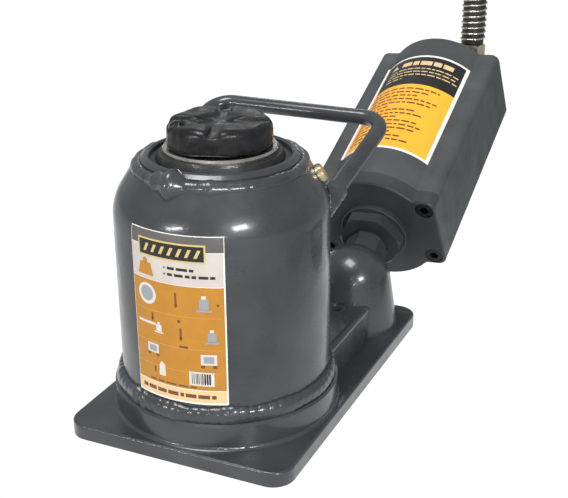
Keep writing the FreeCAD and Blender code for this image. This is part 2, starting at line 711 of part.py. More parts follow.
def coil_footprint():
    """The floor turn's outline: a ring whose last quarter turn swings out to the fittings."""
    outer, near, far = COIL_R + HOSE_R, OUT_R - HOSE_R, OUT_R + HOSE_R
    # The ring's outer circle meets the inner side of the quarter turn at this height over its centre.
    meet_y = (near ** 2 - outer ** 2 - OUT_SHIFT ** 2) / (2 * OUT_SHIFT)
    meet = V(math.sqrt(outer ** 2 - meet_y ** 2), meet_y, 0)
    centre = V(0, -OUT_SHIFT, 0)
    half = math.sqrt(0.5)
    between = (meet - centre).normalize() + V(1, 0, 0)
    wire = Part.Wire([
        Part.Arc(V(0, outer, 0), V(-outer * half, -outer * half, 0), meet).toShape(),
        Part.Arc(meet, centre + between.normalize() * near, centre + V(near, 0, 0)).toShape(),
        Part.LineSegment(centre + V(near, 0, 0), centre + V(far, 0, 0)).toShape(),
        Part.Arc(centre + V(far, 0, 0), centre + V(far * half, far * half, 0), V(0, outer, 0)).toShape(),
    ])
    return Part.Face(wire)


def hose_coil():
    """Outer shape of the wound hose: two levels all round and the start of a third."""
    level = 2 * HOSE_R
    floor_turn = coil_footprint().extrude(V(0, 0, level)).cut(cyl(COIL_R - HOSE_R, -1, level + 1))
    second = ring(COIL_R + HOSE_R, COIL_R - HOSE_R, level, 2 * level)
    third = turned([(COIL_R - HOSE_R, 2 * level), (COIL_R + HOSE_R, 2 * level),
                    (COIL_R + HOSE_R, 3 * level), (COIL_R - HOSE_R, 3 * level)], ENTRY_ANGLE + 30.0, -30.0)
    coil = floor_turn.fuse([second, third]).removeSplitter()
    coil.translate(COIL_CENTRE)
    return coil


def at_hose_end(shape):
    """Place a shape drawn along +Y on the fittings' axis, so that it points to -Y from the coil."""
    shape = shape.copy()
    shape.rotate(V(0, 0, 0), UP, 180.0)
    shape.translate(V(HOSE_OUT.x, HOSE_OUT.y, END_AXIS_Z))
    return shape


def forward(shape, start=0.0):
    """Turn a shape drawn about Z to point along +Y on the fittings' axis."""
    return along_y(shape, V(0, start, 0))


def hose_ferrule():
    crimps = [ring(8, 6.3, z, z + 2.2) for z in (5.0, 11.0, 17.0)]
    return forward(ring(6.8, HOSE_R + 0.02, 0.02, FERRULE_END).cut(crimps[0].fuse(crimps[1:])))


def hose_nut():
    nut = hex_nut(15.0, FERRULE_END + 0.02, NUT_END - 0.02, 0.0, 0.7)
    return forward(nut.cut(cyl(3.0, 0, 60)))


def lever_pin_hole():
    return Part.makeCylinder(1.5 + RUN, 24, LEVER_PIN - V(12, 0, 0), V(1, 0, 0))


def air_valve():
    """Squeeze valve: a round barrel with a lever post and a stem bore on top."""
    barrel = forward(cyl(8.6, NUT_END, VALVE_END))
    tail = forward(cyl(6.5, VALVE_END - 1, TAIL_END))
    top = block(-6, 6, NUT_END + 4, NUT_END + 52, 0, 11.3)
    top = top.makeFillet(1.5, level_edges(top, 11.3))
    post = block(-6, 6, LEVER_PIN.y - 5, LEVER_PIN.y + 5, 7, LEVER_PIN.z + 4)
    slot = block(-3.2, 3.2, LEVER_PIN.y - 10, LEVER_PIN.y + 10, 11.8, 40)
    stem_bore = Part.makeCylinder(2.0 + RUN, 20, V(0, STEM_Y, 0), UP)
    return barrel.fuse([top, post, tail]).cut(slot.fuse([lever_pin_hole(), stem_bore]))


def lever_pin():
    return Part.makeCylinder(1.5, 13.4, LEVER_PIN - V(6.7, 0, 0), V(1, 0, 0))


def valve_lever():
    """Press lever: it turns down about its pin and pushes the stem."""
    y, low, high = LEVER_PIN.y, 18.0, 20.2
    hub = block(-2.9, 2.9, y - 3.5, y + 6, 12.8, high)
    web = block(-2.9, 2.9, y + 4, y + 9, 15.5, high)
    blade = block(-5.6, 5.6, y + 6.5, VALVE_END - 4, low, high)
    tip = block(-5.6, 5.6, VALVE_END - 6.2, VALVE_END - 4, low, high + 4)
    lever = hub.fuse([web, blade, tip]).removeSplitter()
    return lever.cut(lever_pin_hole())


def valve_stem():
    return Part.makeCylinder(2.0, 13.6, V(0, STEM_Y, 3.9), UP)


def quick_plug():
    """Steel quick-connect nipple for the shop's air line."""
    nipple = turned([(0, 0.02), (6.2, 0.02), (6.2, 8), (4.2, 9.2), (4.2, 17), (6.0, 18.6), (6.0, 22.4),
                     (3.9, 24.8), (3.9, 33), (3.0, 34), (0, 34)])
    return forward(nipple.cut(cyl(2.0, 4, 40)), TAIL_END)


# ---- build ---------------------------------------------------------------------------------
def build():
    os.makedirs("parts", exist_ok=True)
    save("base_casting", base_casting())
    save("reservoir_tube", reservoir_tube())
    save("foot_weld", foot_weld())
    save("head_ring", head_ring())
    save("head_weld", head_weld())
    save("pressure_cylinder", ring(CYLINDER_R, CYLINDER_BORE_R, CYLINDER_FOOT, GLAND_FOOT))
    save("gland_nut", ring(RING_BORE_R - 0.02, RAM_R + RUN, GLAND_FOOT, 129.0).cut(ring(30.0, 20, 117, 122)))
    save("rod_seal", ring(29.98, RAM_R + RUN, 117.02, 121.98))
    save("wiper_seal", wiper())
    save("ram", ram())
    save("ram_piston", ram_piston())
    save("ram_seal", ring(CYLINDER_BORE_R - 0.03, 23.52, 19.02, 24.98))
    save("saddle", saddle())
    save("filler_plug", filler_plug())
    save("carry_handle", carry_handle())
    save("handle_welds", handle_welds())
    save("bottle_label", bottle_label())
    save("delivery_ball", check_ball(DELIVERY_AT))
    save("suction_ball", check_ball(SUCTION_AT))
    save("valve_plugs", valve_plugs())
    save("release_valve", release_valve())
    save("release_pin", release_pin())
    for name, shape in (
        ("end_plate", end_plate()), ("motor_housing", motor_housing()), ("motor_screws", motor_screws()),
        ("motor_flange", motor_flange()), ("pump_barrel", pump_barrel()), ("barrel_washer", barrel_washer()),
        ("plunger_seal", plunger_seal()), ("air_piston", air_piston()), ("piston_seal", piston_seal()),
        ("return_spring", return_spring()), ("air_liner", air_liner()), ("distributor", distributor()),
        ("shuttle_valve", shuttle_valve()), ("exhaust_muffler", exhaust_muffler()),
        ("motor_label", motor_label()),
    ):
        save(name, in_motor(shape))
    save("inlet_elbow", inlet_elbow())
    edges = hose_edges()
    hose = save("air_hose", tube_along(edges, HOSE_R))
    length = sum(edge.Length for edge in edges)
    print("hose tube", round(length), "mm, volume over section times length",
          round(hose.Volume / (math.pi * HOSE_R ** 2 * length), 4))
    save("spring_guard", spring_guard(edges))
    save("hose_coil", hose_coil())
    for name, shape in (
        ("hose_ferrule", hose_ferrule()), ("hose_nut", hose_nut()), ("air_valve", air_valve()),
        ("lever_pin", lever_pin()), ("valve_lever", valve_lever()), ("valve_stem", valve_stem()),
        ("quick_plug", quick_plug()),
    ):
        save(name, at_hose_end(shape))
    for row in NODES:
        print(*row)


build()
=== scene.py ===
import json
import math
import random

import bmesh
import bpy
from mathutils import Matrix, Vector, noise
from mathutils.bvhtree import BVHTree


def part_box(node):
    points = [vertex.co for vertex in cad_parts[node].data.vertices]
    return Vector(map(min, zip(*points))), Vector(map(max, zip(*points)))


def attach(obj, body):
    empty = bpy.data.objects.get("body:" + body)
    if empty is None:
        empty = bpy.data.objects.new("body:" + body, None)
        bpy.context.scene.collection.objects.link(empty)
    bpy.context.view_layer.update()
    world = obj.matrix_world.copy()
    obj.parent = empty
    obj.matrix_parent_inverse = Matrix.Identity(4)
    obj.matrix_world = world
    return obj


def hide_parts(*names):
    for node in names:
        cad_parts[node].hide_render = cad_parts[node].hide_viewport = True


# An air and hand hydraulic bottle jack. Everything is in metres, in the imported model's own frame:
# the origin is on the ram's axis on the floor, the front faces -Y, and the air motor leans back at +Y.

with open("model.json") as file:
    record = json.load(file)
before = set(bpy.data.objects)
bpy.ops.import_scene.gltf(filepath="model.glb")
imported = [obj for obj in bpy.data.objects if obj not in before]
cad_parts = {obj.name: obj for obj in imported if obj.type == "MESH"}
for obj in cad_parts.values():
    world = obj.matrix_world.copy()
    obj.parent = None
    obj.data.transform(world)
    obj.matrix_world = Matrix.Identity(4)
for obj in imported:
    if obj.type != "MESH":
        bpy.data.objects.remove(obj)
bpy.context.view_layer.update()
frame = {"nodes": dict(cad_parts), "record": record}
cad = frame["nodes"]
MM = 0.001


# ---- camera ----------------------------------------------------------------------------------
CAMERA_AT = Vector((0.22878, -0.42871, 0.28494))
CAMERA_YAW = 24.681        # degrees, turned left from looking along +Y
CAMERA_DOWN = 22.464
CAMERA_ROLL = -0.420
LENS_MM = 69.68


def make_camera():
    data = bpy.data.cameras.new("camera")
    data.lens = LENS_MM
    data.sensor_width = 36.0
    data.clip_start = 0.02
    data.clip_end = 20.0
    camera = bpy.data.objects.new("camera", data)
    bpy.context.scene.collection.objects.link(camera)
    turn = (Matrix.Rotation(math.radians(CAMERA_YAW), 4, "Z")
            @ Matrix.Rotation(math.radians(90.0 - CAMERA_DOWN), 4, "X")
            @ Matrix.Rotation(math.radians(CAMERA_ROLL), 4, "Z"))
    camera.matrix_world = Matrix.Translation(CAMERA_AT) @ turn
    bpy.context.scene.camera = camera


make_camera()


# ---- small helpers ---------------------------------------------------------------------------
def link(obj):
    bpy.context.scene.collection.objects.link(obj)
    return obj


def mesh_object(name, points, faces, smooth=True):
    mesh = bpy.data.meshes.new(name)
    mesh.from_pydata([tuple(p) for p in points], [], faces)
    mesh.validate()
    if smooth:
        mesh.polygons.foreach_set("use_smooth", [True] * len(mesh.polygons))
    return link(bpy.data.objects.new(name, mesh))


def smoothstep(t):
    t = min(max(t, 0.0), 1.0)
    return t * t * (3.0 - 2.0 * t)


def bell(distance, width):
    return math.exp(-(distance / width) ** 2)


def tube_points(line, radius_at, around):
    """Rings of points round a line, carried along it without twist."""
    tangents = [(line[min(i + 1, len(line) - 1)] - line[max(i - 1, 0)]).normalized()
                for i in range(len(line))]
    side = tangents[0].orthogonal().normalized()
    rings = []
    for i, (centre, along) in enumerate(zip(line, tangents)):
        side = (side - along * side.dot(along)).normalized()
        other = along.cross(side)
        radius = radius_at(i)
        rings.append([centre + (side * math.cos(a) + other * math.sin(a)) * radius
                      for a in (2.0 * math.pi * k / around for k in range(around))])
    return rings


def tube_mesh(name, line, radius_at, around=10):
    """A closed tube along a line, with flat ends."""
    rings = tube_points(line, radius_at, around)
    points = [p for r in rings for p in r]
    faces = []
    for i in range(len(rings) - 1):
        for k in range(around):
            nxt = (k + 1) % around
            faces.append((i * around + k, i * around + nxt,
                          (i + 1) * around + nxt, (i + 1) * around + k))
    faces.append(tuple(range(around - 1, -1, -1)))
    faces.append(tuple(range((len(rings) - 1) * around, len(rings) * around)))
    return mesh_object(name, points, faces)


# ---- air hose --------------------------------------------------------------------------------
HOSE_R = 5.0 * MM
HOSE_ROUTE = [
    (43.1, 271.8, 134.0),
    (43.9, 271.9, 158.0),
    (41.3, 272.0, 195.0),
    (63.0, 272.4, 230.5),
    (103.0, 273.0, 244.0),
    (143.0, 273.4, 230.0),
    (164.0, 273.8, 195.0),
    (162.5, 274.0, 152.0),
    (157.0, 274.6, 116.0),
    (155.4, 275.2, 67.5),
    (168.6, 268.0, 40.6),
    (191.7, 254.7, 25.4),
]
COIL_CENTRE = Vector((193.0, 195.0, 0.0))
COIL_R = 51.0
COIL_STEP = 20             # degrees between the coil's points
ENTRY_ANGLE = 60           # where the hose comes onto the coil
COIL_TURN = 780            # degrees of coil, clockwise from above
OUT_SHIFT = 14.0           # how far the last quarter turn swings out
END_AXIS_Z = 8.7           # height of the end fittings' axis


def coil_height(turned):
    """Height of the hose's middle over the floor, after so many degrees of the coil."""
    drop = 10.0 * (smoothstep((turned - 30.0) / 70.0) + smoothstep((turned - 390.0) / 70.0))
    lift = (END_AXIS_Z - 5.0) * smoothstep((turned - 735.0) / 45.0)
    return 25.0 - drop + lift


def coil_radius(turned):
    """Middle radius of the turn there, from the coil's centre."""
    left = COIL_TURN - turned
    if left >= 90:
        return COIL_R
    angle = math.radians(left)
    reach = COIL_R + OUT_SHIFT
    across = OUT_SHIFT * math.cos(angle)
    return math.sqrt(reach ** 2 - across ** 2) - OUT_SHIFT * math.sin(angle)


def coil_points():
    """Control points of the coil. They stand a little outside the line that the curve takes."""
    outside = 1.0 / math.cos(math.radians(COIL_STEP / 2.0))
    points = []
    for turned in range(0, COIL_TURN + 1, COIL_STEP):
        angle = math.radians(ENTRY_ANGLE - turned)
        last = turned == COIL_TURN
        radius = coil_radius(turned) * (1.0 if last else outside)
        at = COIL_CENTRE + Vector((math.cos(angle), math.sin(angle), 0.0)) * radius
        points.append((at.x, at.y, coil_height(turned)))
    return points


def hose_points():
    points = HOSE_ROUTE + coil_points()
    x, y, _ = points[-1]
    inside_ferrule = [(x, y - 12.0, END_AXIS_Z), (x, y - 23.0, END_AXIS_Z)]
    return points + inside_ferrule


def make_hose():
    points = hose_points()
    curve = bpy.data.curves.new("air_hose_line", "CURVE")
    curve.dimensions = "3D"
    curve.resolution_u = 10
    spline = curve.splines.new("NURBS")
    spline.points.add(len(points) - 1)
    for point, at in zip(spline.points, points):
        point.co = (at[0] * MM, at[1] * MM, at[2] * MM, 1.0)
        point.radius = HOSE_R
    spline.order_u = 3
    spline.use_endpoint_u = True
    return link(bpy.data.objects.new("hose_line", curve))


def line_of(hose):
    """Points along the hose's own curve, from the elbow on."""
    graph = bpy.context.evaluated_depsgraph_get()
    mesh = bpy.data.meshes.new_from_object(hose.evaluated_get(graph))
    points = [v.co.copy() for v in mesh.vertices]
    bpy.data.meshes.remove(mesh)
    return points


WALK_STEP = 0.5 * MM


def walk(points, length):
    """The first stretch of a line of points, in even steps."""
    out, left = [points[0].copy()], WALK_STEP
    for a, b in zip(points, points[1:]):
        span, done = (b - a).length, 0.0
        while span - done >= left:
            done += left
            out.append(a.lerp(b, done / span))
            left = WALK_STEP
            if len(out) * WALK_STEP > length:
                return out
        left -= span - done
    return out


GUARD_LENGTH = 46.0 * MM
GUARD_PITCH = 3.6 * MM
GUARD_MEAN_R = 7.55 * MM
GUARD_WIRE_R = 0.62 * MM
GUARD_SIDES = 24           # points of the wire in each of its turns
SLEEVE_R = 7.15 * MM
SLEEVE_TAPER = 0.9 * MM    # how much the sleeve's radius shrinks at its free end
TAPER_FROM = 84            # the walk's steps at which that starts
TAPER_STEPS = 7.0


def sleeve_radius(i):
    return SLEEVE_R - SLEEVE_TAPER * smoothstep((i - TAPER_FROM) / TAPER_STEPS)


def make_guard(line):
    """A steel wire wound round a black sleeve, from the elbow up into the first bend."""
    middle = walk(line, GUARD_LENGTH)[1:]
    sleeve = tube_mesh("guard_sleeve", middle, sleeve_radius, 28)
    rings = tube_points(middle, lambda i: GUARD_MEAN_R, GUARD_SIDES)
    wire_line = []
    turns = (len(middle) - 5) * WALK_STEP / GUARD_PITCH
    for k in range(int(turns * GUARD_SIDES)):
        along = 2.0 + k / GUARD_SIDES * GUARD_PITCH / WALK_STEP
        i = min(int(along), len(middle) - 2)
        side = k % GUARD_SIDES
        wire_line.append(rings[i][side].lerp(rings[i + 1][side], along - i))
    wire = tube_mesh("guard_wire", wire_line, lambda i: GUARD_WIRE_R, 8)
    return sleeve, wire


hose = make_hose()
guard_sleeve, guard_wire = make_guard(line_of(hose))
hose.data.bevel_depth = 1.0      # times each point's own radius
hose.data.bevel_resolution = 6
hose.data.use_fill_caps = True
for piece in (hose, guard_sleeve, guard_wire):
    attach(piece, "base")
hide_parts("air_hose", "hose_coil")
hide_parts("spring_guard")


# ---- materials -------------------------------------------------------------------------------
class Shader:
    """A material with the few node-graph steps that the ones below share."""

    def __init__(self, name, metallic=0.0, specular=0.5, coat=0.0, coat_roughness=0.1):
        self.material = bpy.data.materials.new(name)
        self.material.use_nodes = True
        self.tree = self.material.node_tree
        self.surface = self.tree.nodes["Principled BSDF"]
        self.surface.inputs["Metallic"].default_value = metallic
        self.surface.inputs["Specular IOR Level"].default_value = specular
        self.surface.inputs["Coat Weight"].default_value = coat
        self.surface.inputs["Coat Roughness"].default_value = coat_roughness
        self.place = self.node("ShaderNodeTexCoord").outputs["Object"]
        self.bumps = None

    def node(self, kind, **inputs):
        node = self.tree.nodes.new(kind)
        for key, value in inputs.items():
            self.feed(node.inputs[key], value)
        return node

    def feed(self, socket, value):
        if isinstance(value, bpy.types.NodeSocket):
            self.tree.links.new(value, socket)
        else:
            socket.default_value = value

    def stretched(self, scale):
        mapping = self.node("ShaderNodeMapping", Vector=self.place, Scale=scale)
        return mapping.outputs["Vector"]

    def noise(self, size, detail=3.0, rough=0.55, place=None):
        """Noise whose lumps are about size metres across, from 0 to 1."""
        node = self.node("ShaderNodeTexNoise", Vector=place or self.place, Scale=1.0 / size)
        node.inputs["Detail"].default_value = detail
        node.inputs["Roughness"].default_value = rough
        return node.outputs["Fac"]

    def cells(self, size):
        node = self.node("ShaderNodeTexVoronoi", Vector=self.place, Scale=1.0 / size)
        return node.outputs["Distance"]

    def spread(self, value, low, high, to_low=0.0, to_high=1.0):
        node = self.node("ShaderNodeMapRange", Value=value)
        for key, number in (("From Min", low), ("From Max", high),
                            ("To Min", to_low), ("To Max", to_high)):
            node.inputs[key].default_value = number
        return node.outputs["Result"]

    def mix(self, share, first, second):
        node = self.node("ShaderNodeMix")
        node.data_type = "RGBA"
        for key, value in ((0, share), (6, first), (7, second)):
            if isinstance(value, tuple):
                value = (*value, 1.0)
            self.feed(node.inputs[key], value)
        return node.outputs[2]

    def color(self, value):
        self.feed(self.surface.inputs["Base Color"], value)

    def rough(self, value):
        self.feed(self.surface.inputs["Roughness"], value)

    def bump(self, height, depth, strength=1.0):
        """Adds relief whose full height is depth metres."""
        node = self.node("ShaderNodeBump", Height=height)
        node.inputs["Distance"].default_value = depth
        node.inputs["Strength"].default_value = strength
        if self.bumps:
            self.feed(node.inputs["Normal"], self.bumps)
        self.bumps = node.outputs["Normal"]
        self.feed(self.surface.inputs["Normal"], self.bumps)


def paint(name, color, roughness, dusty=0.35, relief=0.05 * MM, specular=0.35, coat=0.4):
    """Thick enamel: an uneven sheen, orange peel, and a little pale dust."""
    s = Shader(name, specular=specular, coat=coat, coat_roughness=0.11)
    deep = tuple(c * 0.82 for c in color)
    pale = tuple(min(c * 1.15 + 0.003, 1.0) for c in color)
    base = s.mix(s.spread(s.noise(0.03, 4.0), 0.35, 0.65), deep, pale)
    dust = s.spread(s.noise(0.0035, 6.0, 0.7), 0.6, 0.78, 0.0, dusty)
    s.color(s.mix(dust, base, tuple(c * 1.5 + 0.008 for c in color)))
    s.rough(s.spread(s.noise(0.012, 5.0, 0.6), 0.3, 0.7, roughness - 0.06, roughness + 0.1))
    s.bump(s.noise(0.0022, 2.0), relief)
    s.bump(s.noise(0.016, 3.0), relief * 6.0, 0.55)
    return s.material


def bright_metal(name, color, roughness, grain=(1.0, 1.0, 1.0), depth=0.012 * MM):
    """Machined or plated metal: fine marks along one way, with faint stains."""
    s = Shader(name, metallic=1.0)
    stain = s.spread(s.noise(0.009, 5.0, 0.65), 0.45, 0.75)
    s.color(s.mix(stain, color, tuple(c * 0.72 for c in color)))
    marks = s.noise(0.0012, 2.0, 0.5, s.stretched(grain))
    s.rough(s.spread(marks, 0.3, 0.7, roughness * 0.75, roughness * 1.4))
    s.bump(marks, depth)
    return s.material


def rubber(name, color, roughness=0.5):
    s = Shader(name, specular=0.35)
    worn = tuple(c * 1.9 + 0.004 for c in color)
    s.color(s.mix(s.spread(s.noise(0.006, 5.0), 0.4, 0.7), color, worn))
    s.rough(s.spread(s.noise(0.003, 3.0), 0.3, 0.7, roughness - 0.08, roughness + 0.12))
    s.bump(s.noise(0.0009, 3.0), 0.03 * MM)
    return s.material


def black_casting(name):
    """Sand-cast iron with a burnt-on black finish: pitted, with a greasy sheen in places."""
    s = Shader(name, specular=0.3)
    dry = s.spread(s.noise(0.004, 6.0, 0.7), 0.42, 0.7)
    s.color(s.mix(dry, (0.006, 0.006, 0.007), (0.013, 0.013, 0.014)))
    s.rough(s.spread(s.noise(0.006, 5.0), 0.3, 0.7, 0.22, 0.46))
    s.bump(s.noise(0.0016, 4.0, 0.6), 0.08 * MM)
    s.bump(s.noise(0.0060, 3.0), 0.50 * MM, 0.6)
    return s.material


def ink(name, color, roughness=0.32):
    """Printed film under a clear skin: flat colour with slight mottling and a soft gloss."""
    s = Shader(name, specular=0.3, coat=0.1, coat_roughness=0.15)
    s.color(s.mix(s.spread(s.noise(0.008, 4.0), 0.35, 0.7), color, tuple(c * 0.9 for c in color)))
    s.rough(s.spread(s.noise(0.004, 3.0), 0.3, 0.7, roughness - 0.05, roughness + 0.08))
    s.bump(s.noise(0.005, 2.0), 0.02 * MM)
    return s.material


GREY = (0.033, 0.037, 0.041)
MATERIALS = {
    "grey_paint": paint("grey_enamel", GREY, 0.28),
    "motor_paint": paint("motor_enamel", (0.056, 0.062, 0.064), 0.52, 0.15, 0.03 * MM, 0.22, 0.0),
    # Painted shade: this enamel is a darkened copy of the motor's paint. It stands for the shade on
    # the end plate's face, which is turned away from the light.
    "dark_paint": paint("enamel_in_painted_shade", (0.030, 0.033, 0.037), 0.45, 0.15, 0.03 * MM, 0.3, 0.1),
    "chrome": bright_metal("hard_chrome", (0.62, 0.60, 0.57), 0.20, (1.0, 1.0, 14.0)),
    "black_cast": black_casting("black_casting"),
    # Painted shade: the steel's colour is kept very dark, so the recess between the ring and the ram
    # looks shaded where the gland nut's top shows.
    "steel": bright_metal("ground_steel_painted_shade", (0.085, 0.082, 0.08), 0.34, (6.0, 1.0, 1.0)),
    "dark_steel": bright_metal("black_oxide", (0.045, 0.046, 0.05), 0.42),
    "spring_steel": bright_metal("drawn_wire", (0.62, 0.60, 0.53), 0.26),
    "brass": bright_metal("yellow_brass", (0.60, 0.52, 0.34), 0.32, (1.0, 1.0, 8.0)),
    "aluminium": bright_metal("cast_aluminium", (0.60, 0.60, 0.60), 0.38, (1.0, 5.0, 1.0)),
    "seal_rubber": rubber("seal_rubber", (0.012, 0.012, 0.012)),
    "hose_rubber": rubber("hose_rubber", (0.014, 0.014, 0.013), 0.42),
    "orange_label": ink("white_film", (0.80, 0.77, 0.73)),
}


def dress(obj, material):
    obj.data.materials.clear()
    obj.data.materials.append(material)


for entry in frame["record"]["subparts"]:
    dress(cad[entry["node"]], MATERIALS[entry["material_slot"]])
dress(hose, MATERIALS["hose_rubber"])
dress(guard_sleeve, MATERIALS["hose_rubber"])
dress(guard_wire, MATERIALS["spring_steel"])


# ---- weld beads ------------------------------------------------------------------------------
BOTTLE_R = 51.0
HEAD_WELD_R = 38.4
FOOT_WELD_Z = 23.2
head_weld_z = (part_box("head_weld")[0].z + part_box("head_weld")[1].z) / 2.0 / MM


def bead_ring(name, section, ripple_mm, ripple, lumps=(), seed=0.0, count=900, around=20):
    """A weld bead round the Z axis, in millimetres and degrees. section(azimuth) gives its middle
    (r, z) and its half width and half height. A lump is (azimuth, width, extra size)."""
    points, faces = [], []
    for i in range(count):
        azimuth = 360.0 * i / count
        angle = math.radians(azimuth)
        centre_r, centre_z, wide, tall = section(azimuth)
        ripples = 2.0 * math.pi * centre_r / ripple_mm
        phase = azimuth / 360.0 * ripples + 0.35 * noise.noise(Vector((angle * 5.0, seed, 0.0)))
        scallop = 1.0 - abs(2.0 * (phase % 1.0) - 0.85) ** 1.6
        swell = noise.noise(Vector((math.cos(angle) * 4.0, math.sin(angle) * 4.0, seed)))
        growth = 1.0 + ripple * (scallop - 0.5) + 0.22 * swell
        for at, width, amount in lumps:
            growth += amount * bell((azimuth - at + 180.0) % 360.0 - 180.0, width)
        for k in range(around):
            turn = 2.0 * math.pi * k / around
            rough = 0.02 * noise.noise(Vector((angle * 40.0, turn * 3.0, seed + 7.0)))
            r = centre_r + wide * (growth + rough) * math.cos(turn)
            z = centre_z + tall * (growth + rough) * math.sin(turn)
            points.append((r * math.cos(angle) * MM, r * math.sin(angle) * MM, z * MM))
    for i in range(count):
        nxt = (i + 1) % count
        for k in range(around):
            kn = (k + 1) % around
            faces.append((i * around + k, nxt * around + k, nxt * around + kn, i * around + kn))
    return mesh_object(name, points, faces)


def head_section(azimuth):
    return HEAD_WELD_R, head_weld_z - 0.2, 3.2, 3.4


def foot_section(azimuth):
    drift = noise.noise(Vector((math.radians(azimuth) * 2.0, 3.0, 1.0)))
    return BOTTLE_R + 0.2, FOOT_WELD_Z + 0.8 * drift, 3.0, 4.6


head_bead = bead_ring("head_weld_bead", head_section, 4.4, 0.035,
                      lumps=((265.0, 7.0, 1.35), (252.0, 5.0, 0.5), (290.0, 7.0, 0.25)), seed=2.0)
foot_bead = bead_ring("foot_weld_bead", foot_section, 4.6, 0.06,
                      lumps=((243.0, 3.0, 0.3), (250.0, 2.0, 0.25), (271.0, 4.0, 0.2)), seed=5.0)
for bead, node in ((head_bead, "head_weld"), (foot_bead, "foot_weld")):
    dress(bead, MATERIALS["grey_paint"])
    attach(bead, "base")
    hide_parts(node)


# ---- rough cast and welded pieces ------------------------------------------------------------
def recast(node, name, voxel, relief, body, grow=0.0, smoothing=2):
    """A copy of a CAD piece with its edges worn round and a lumpy skin. relief is pairs of a
    lump's size and its height."""
    mesh = cad[node].data.copy()
    obj = link(bpy.data.objects.new(name, mesh))
    bpy.context.view_layer.update()
    weld = obj.modifiers.new("weld", "WELD")
    weld.merge_threshold = 0.01 * MM
    remesh = obj.modifiers.new("remesh", "REMESH")
    remesh.mode = "VOXEL"
    remesh.voxel_size = voxel
    remesh.use_smooth_shade = True
    smooth = obj.modifiers.new("smooth", "SMOOTH")
    smooth.factor = 0.5
    smooth.iterations = smoothing
    graph = bpy.context.evaluated_depsgraph_get()
    done = bpy.data.meshes.new_from_object(obj.evaluated_get(graph))
    obj.modifiers.clear()
    obj.data = done
    work = bmesh.new()
    work.from_mesh(done)
    work.normal_update()
    for vertex in work.verts:
        lift = grow
        for size, height in relief:
            lift += height * noise.noise(vertex.co / size)
        vertex.co = vertex.co + vertex.normal * lift
    work.to_mesh(done)
    work.free()
    done.polygons.foreach_set("use_smooth", [True] * len(done.polygons))
    slot_name = next(e["material_slot"] for e in frame["record"]["subparts"] if e["node"] == node)
    dress(obj, MATERIALS[slot_name])
    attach(obj, body)
    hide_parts(node)
    return obj


recast("saddle", "saddle_casting", 0.5 * MM, ((9.0 * MM, 0.9 * MM), (3.0 * MM, 0.12 * MM)),
       "saddle", grow=0.25 * MM, smoothing=34)
recast("handle_welds", "handle_weld_beads", 0.35 * MM, ((3.0 * MM, 0.45 * MM),),
       "base", grow=0.25 * MM)


# ---- printed labels --------------------------------------------------------------------------
INKS = {
    # Painted shade: the bottle label's orange is a darkened copy of the motor label's amber, for the
    # shade that the bottle's label lies in.
    "orange": ink("orange_ink", (0.43, 0.19, 0.022)),
    "pale_orange": ink("pale_orange_ink", (0.52, 0.27, 0.06)),
    # Painted shade: dimmed for the shade that the bottle's label lies in.
    "paper": ink("paper_ink", (0.52, 0.47, 0.43)),
    "amber": ink("amber_ink", (0.93, 0.42, 0.035)),
    # Painted shade: dimmed for the shade that the bottle's label lies in.
    "white": ink("white_ink", (0.60, 0.57, 0.53)),
    "cream": ink("cream_ink", (0.66, 0.48, 0.25)),
    "black": ink("black_ink", (0.018, 0.017, 0.018)),
    "brown": ink("brown_ink", (0.16, 0.055, 0.02)),
    "grey": ink("grey_ink", (0.27, 0.29, 0.31)),
    "dark_grey": ink("dark_grey_ink", (0.10, 0.095, 0.09)),
    "gold": ink("gold_ink", (0.55, 0.42, 0.16)),
}
LAYER = 0.045 * MM         # each ink lies this much over the one below
FINE = 1.6                 # longest edge of a printed shape, in millimetres, so that it bends
SKIN = 0.03 * MM           # thickness of one ink


def surface_of(*names):
    """A tree for casting rays onto CAD nodes."""
    work = bmesh.new()
    for name in names:
        work.from_mesh(cad[name].data)
    tree = BVHTree.FromBMesh(work)
    work.free()
    return tree


def bar(u0, v0, u1, v1):
    return [(u0, v0), (u1, v0), (u1, v1), (u0, v1)]


def disc(u, v, r, sides=18):
    turns = [2 * math.pi * k / sides for k in range(sides)]
    return [(u + r * math.cos(a), v + r * math.sin(a)) for a in turns]


class Label:
    """Flat printed shapes in millimetres, laid onto a curved surface."""

    def __init__(self, name, ray, tree):
        self.name, self.ray, self.tree = name, ray, tree
        self.shapes = {}

    def print(self, color, layer, outline):
        self.shapes.setdefault((color, layer), []).append(outline)

    def words(self, color, layer, u0, u1, v, height, rng):
        """A line of short dashes in place of a line of print."""
        u = u0
        while u < u1 - 1.0:
            end = min(u + rng.uniform(1.8, 5.5), u1)
            self.print(color, layer, bar(u, v, end, v + height))
            u = end + rng.uniform(0.7, 1.1)

    def make(self, body):
        for (color, layer), outlines in sorted(self.shapes.items()):
            work = bmesh.new()
            for outline in outlines:
                work.faces.new([work.verts.new((u, v, 0.0)) for u, v in outline])
            bmesh.ops.triangulate(work, faces=work.faces[:])
            for _ in range(8):
                long_edges = [e for e in work.edges if e.calc_length() > FINE]
                if not long_edges:
                    break
                bmesh.ops.subdivide_edges(work, edges=long_edges, cuts=1)
                bmesh.ops.triangulate(work, faces=work.faces[:])
            for vertex in work.verts:
                start, way = self.ray(vertex.co.x, vertex.co.y)
                hit = self.tree.ray_cast(start, way)[0]
                vertex.co = hit - way * (LAYER * layer)
            work.normal_update()
            mesh = bpy.data.meshes.new("%s_%s_%d" % (self.name, color, layer))
            work.to_mesh(mesh)
            work.free()
            obj = link(bpy.data.objects.new(mesh.name, mesh))
            skin = obj.modifiers.new("thickness", "SOLIDIFY")
            skin.thickness = SKIN
            skin.offset = 0.0
            dress(obj, INKS[color])
            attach(obj, body)


BOTTLE_LABEL_START = math.radians(-114.0)
BOTTLE_LABEL_SPAN = math.radians(52.5)


